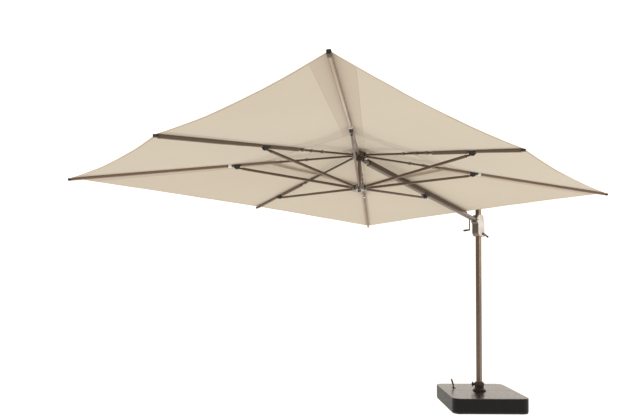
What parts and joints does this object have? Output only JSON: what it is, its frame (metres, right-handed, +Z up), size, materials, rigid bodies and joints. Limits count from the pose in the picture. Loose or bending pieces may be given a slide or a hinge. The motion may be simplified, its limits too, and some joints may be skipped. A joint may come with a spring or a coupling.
{
  "type": "patio umbrella with base",
  "caption": "Side-post patio umbrella: sliding arm, folding ribs and vented canopy over a weighted, swivelling base.",
  "frame": {"origin": "on the floor under the mast's axis, which is the centre of the base", "axes": "+Z up, the arm reaches from the mast towards -X, +X runs from the canopy's hub to the mast, and the crank is on the +Y side"},
  "size_m": [4.9461, 3.0178, 2.6988],
  "materials": {
    "frame_bronze": "satin",
    "hub_black": "matte",
    "fitting_black": "satin",
    "canopy_fabric": "matte",
    "cover_brown": "satin",
    "tray_black": "matte",
    "ballast_stone": "matte",
    "steel_dark": "satin",
    "bright_steel": "satin",
    "housing_taupe": "satin",
    "liner_nylon": "matte",
    "foot_rubber": "matte"
  },
  "bodies": {
    "base": {"base_tray": "tray_black", "base_cover": "cover_brown", "base_frame": "steel_dark", "ballast_slabs": "ballast_stone", "base_feet": "foot_rubber", "pedal_bracket": "steel_dark", "mast_collar": "steel_dark", "flange_bolts": "bright_steel", "mast_spindle": "bright_steel"},
    "pedal": {"foot_pedal": "steel_dark"},
    "clamp_knob": {"collar_knob": "fitting_black"},
    "mast": {"mast_tube": "frame_bronze", "mast_foot": "steel_dark", "mast_bushes": "liner_nylon", "mast_cap": "fitting_black"},
    "carriage": {"carriage_shell": "housing_taupe", "carriage_liners": "liner_nylon", "carriage_pins": "bright_steel"},
    "crank": {"crank_shaft": "steel_dark"},
    "crank_grip": {"crank_knob": "fitting_black"},
    "lever": {"brake_lever": "fitting_black"},
    "arm": {"arm_tube": "frame_bronze", "arm_knuckles": "housing_taupe", "rib_tube_east": "frame_bronze", "rib_fittings_east": "fitting_black", "canopy_east": "canopy_fabric"},
    "hub": {"upper_hub": "hub_black", "hub_pins": "bright_steel", "hub_post": "steel_dark", "vent_cap": "canopy_fabric"},
    "runner": {"lower_hub": "hub_black"},
    "strut_east": {"strut_east": "frame_bronze"},
    "rib_northeast": {"rib_tube_northeast": "frame_bronze", "rib_fittings_northeast": "fitting_black", "canopy_northeast": "canopy_fabric"},
    "strut_northeast": {"strut_northeast": "frame_bronze"},
    "rib_north": {"rib_tube_north": "frame_bronze", "rib_fittings_north": "fitting_black", "canopy_north": "canopy_fabric"},
    "strut_north": {"strut_north": "frame_bronze"},
    "rib_northwest": {"rib_tube_northwest": "frame_bronze", "rib_fittings_northwest": "fitting_black", "canopy_northwest": "canopy_fabric"},
    "strut_northwest": {"strut_northwest": "frame_bronze"},
    "rib_west": {"rib_tube_west": "frame_bronze", "rib_fittings_west": "fitting_black", "canopy_west": "canopy_fabric"},
    "strut_west": {"strut_west": "frame_bronze"},
    "rib_southwest": {"rib_tube_southwest": "frame_bronze", "rib_fittings_southwest": "fitting_black", "canopy_southwest": "canopy_fabric"},
    "strut_southwest": {"strut_southwest": "frame_bronze"},
    "rib_south": {"rib_tube_south": "frame_bronze", "rib_fittings_south": "fitting_black", "canopy_south": "canopy_fabric"},
    "strut_south": {"strut_south": "frame_bronze"},
    "rib_southeast": {"rib_tube_southeast": "frame_bronze", "rib_fittings_southeast": "fitting_black", "canopy_southeast": "canopy_fabric"},
    "strut_southeast": {"strut_southeast": "frame_bronze"}
  },
  "joints": [
    {"name": "mast_turn", "type": "hinge", "parent": "base", "child": "mast", "pos_m": [0, 0, 0.3], "axis": [0, 0, 1], "continuous": true},
    {"name": "clamp_knob_turn", "type": "hinge", "parent": "base", "child": "clamp_knob", "pos_m": [-0.05657, 0.05657, 0.272], "axis": [-0.7071, 0.7071, 0], "continuous": true},
    {"name": "pedal_press", "type": "hinge", "parent": "base", "child": "pedal", "pos_m": [-0.03594, 0.32786, 0.165], "axis": [-0.6756, 0.7373, 0], "range_deg": [0, 20], "stiffness_Nm_per_rad": 5, "springref_deg": -5.73},
    {"name": "arm_lift", "type": "hinge", "parent": "carriage", "child": "arm", "pos_m": [-0.095, 0, 2.302], "axis": [0, 1, 0], "range_deg": [0, 72], "deforming": ["canopy_east"]},
    {"name": "carriage_slide", "type": "slide", "parent": "mast", "child": "carriage", "axis": [0, 0, -1], "range_m": [0, 1.7]},
    {"name": "crank_turn", "type": "hinge", "parent": "carriage", "child": "crank", "pos_m": [-0.038, 0.07, 2.332], "axis": [0, 1, 0], "range_deg": [-4320, 0]},
    {"name": "grip_spin", "type": "hinge", "parent": "crank", "child": "crank_grip", "pos_m": [-0.038, 0.14, 2.194], "axis": [0, 1, 0], "continuous": true},
    {"name": "lever_pull", "type": "hinge", "parent": "carriage", "child": "lever", "pos_m": [0.03, -0.05, 2.138], "axis": [0, -1, 0], "range_deg": [0, 25], "stiffness_Nm_per_rad": 2, "springref_deg": -11.46},
    {"name": "hub_level", "type": "hinge", "parent": "arm", "child": "hub", "pos_m": [-2.238, 0, 2.6096], "axis": [0, 1, 0], "range_deg": [-72, 0]},
    {"name": "runner_drop", "type": "slide", "parent": "hub", "child": "runner", "axis": [0, 0, -1], "range_m": [0, 1.81904]},
    {"name": "strut_swing_east", "type": "hinge", "parent": "arm", "child": "strut_east", "pos_m": [-1.205, 0, 2.41688], "axis": [0, 1, 0], "range_deg": [-150.22, 0]},
    {"name": "fold_northeast", "type": "hinge", "parent": "hub", "child": "rib_northeast", "pos_m": [-2.261, 0.033, 2.64], "axis": [-0.6, 0.8, 0], "range_deg": [0, 80.46], "deforming": ["canopy_northeast"]},
    {"name": "strut_swing_northeast", "type": "hinge", "parent": "rib_northeast", "child": "strut_northeast", "pos_m": [-1.425, 0.66, 2.4972], "axis": [-0.6, 0.8, 0], "range_deg": [-160.68, 0]},
    {"name": "fold_north", "type": "hinge", "parent": "hub", "child": "rib_north", "pos_m": [-2.305, 0.055, 2.64], "axis": [-1, 0, 0], "range_deg": [0, 74.2], "deforming": ["canopy_north", "vent_cap"]},
    {"name": "strut_swing_north", "type": "hinge", "parent": "rib_north", "child": "strut_north", "pos_m": [-2.305, 1.1, 2.42439], "axis": [-1, 0, 0], "range_deg": [-155.91, 0]},
    {"name": "fold_northwest", "type": "hinge", "parent": "hub", "child": "rib_northwest", "pos_m": [-2.349, 0.033, 2.64], "axis": [-0.6, -0.8, 0], "range_deg": [0, 80.46], "deforming": ["canopy_northwest"]},
    {"name": "strut_swing_northwest", "type": "hinge", "parent": "rib_northwest", "child": "strut_northwest", "pos_m": [-3.185, 0.66, 2.4972], "axis": [-0.6, -0.8, 0], "range_deg": [-160.68, 0]},
    {"name": "fold_west", "type": "hinge", "parent": "hub", "child": "rib_west", "pos_m": [-2.36, 0, 2.64], "axis": [0, -1, 0], "range_deg": [0, 78.78], "deforming": ["canopy_west"]},
    {"name": "strut_swing_west", "type": "hinge", "parent": "rib_west", "child": "strut_west", "pos_m": [-3.405, 0, 2.47259], "axis": [0, -1, 0], "range_deg": [-159.95, 0]},
    {"name": "fold_southwest", "type": "hinge", "parent": "hub", "child": "rib_southwest", "pos_m": [-2.349, -0.033, 2.64], "axis": [0.6, -0.8, 0], "range_deg": [0, 80.46], "deforming": ["canopy_southwest"]},
    {"name": "strut_swing_southwest", "type": "hinge", "parent": "rib_southwest", "child": "strut_southwest", "pos_m": [-3.185, -0.66, 2.4972], "axis": [0.6, -0.8, 0], "range_deg": [-160.68, 0]},
    {"name": "fold_south", "type": "hinge", "parent": "hub", "child": "rib_south", "pos_m": [-2.305, -0.055, 2.64], "axis": [1, 0, 0], "range_deg": [0, 74.2], "deforming": ["canopy_south"]},
    {"name": "strut_swing_south", "type": "hinge", "parent": "rib_south", "child": "strut_south", "pos_m": [-2.305, -1.1, 2.42439], "axis": [1, 0, 0], "range_deg": [-155.91, 0]},
    {"name": "fold_southeast", "type": "hinge", "parent": "hub", "child": "rib_southeast", "pos_m": [-2.261, -0.033, 2.64], "axis": [0.6, 0.8, 0], "range_deg": [0, 80.46], "deforming": ["canopy_southeast"]},
    {"name": "strut_swing_southeast", "type": "hinge", "parent": "rib_southeast", "child": "strut_southeast", "pos_m": [-1.425, -0.66, 2.4972], "axis": [0.6, 0.8, 0], "range_deg": [-160.68, 0]}
  ],
  "couplings": [
    {"joint": "carriage_slide", "follows": "arm_lift", "m_per_rad": 1.3528},
    {"joint": "crank_turn", "follows": "arm_lift", "ratio": -60},
    {"joint": "hub_level", "follows": "arm_lift", "ratio": -1},
    {"joint": "runner_drop", "follows": "arm_lift", "m_per_rad": 1.4475},
    {"joint": "strut_swing_east", "follows": "arm_lift", "ratio": -2.0864},
    {"joint": "fold_northeast", "follows": "arm_lift", "ratio": 1.1175},
    {"joint": "strut_swing_northeast", "follows": "arm_lift", "ratio": -2.2317},
    {"joint": "fold_north", "follows": "arm_lift", "ratio": 1.0306},
    {"joint": "strut_swing_north", "follows": "arm_lift", "ratio": -2.1655},
    {"joint": "fold_northwest", "follows": "arm_lift", "ratio": 1.1175},
    {"joint": "strut_swing_northwest", "follows": "arm_lift", "ratio": -2.2317},
    {"joint": "fold_west", "follows": "arm_lift", "ratio": 1.0941},
    {"joint": "strut_swing_west", "follows": "arm_lift", "ratio": -2.2215},
    {"joint": "fold_southwest", "follows": "arm_lift", "ratio": 1.1175},
    {"joint": "strut_swing_southwest", "follows": "arm_lift", "ratio": -2.2317},
    {"joint": "fold_south", "follows": "arm_lift", "ratio": 1.0306},
    {"joint": "strut_swing_south", "follows": "arm_lift", "ratio": -2.1655},
    {"joint": "fold_southeast", "follows": "arm_lift", "ratio": 1.1175},
    {"joint": "strut_swing_southeast", "follows": "arm_lift", "ratio": -2.2317}
  ]
}
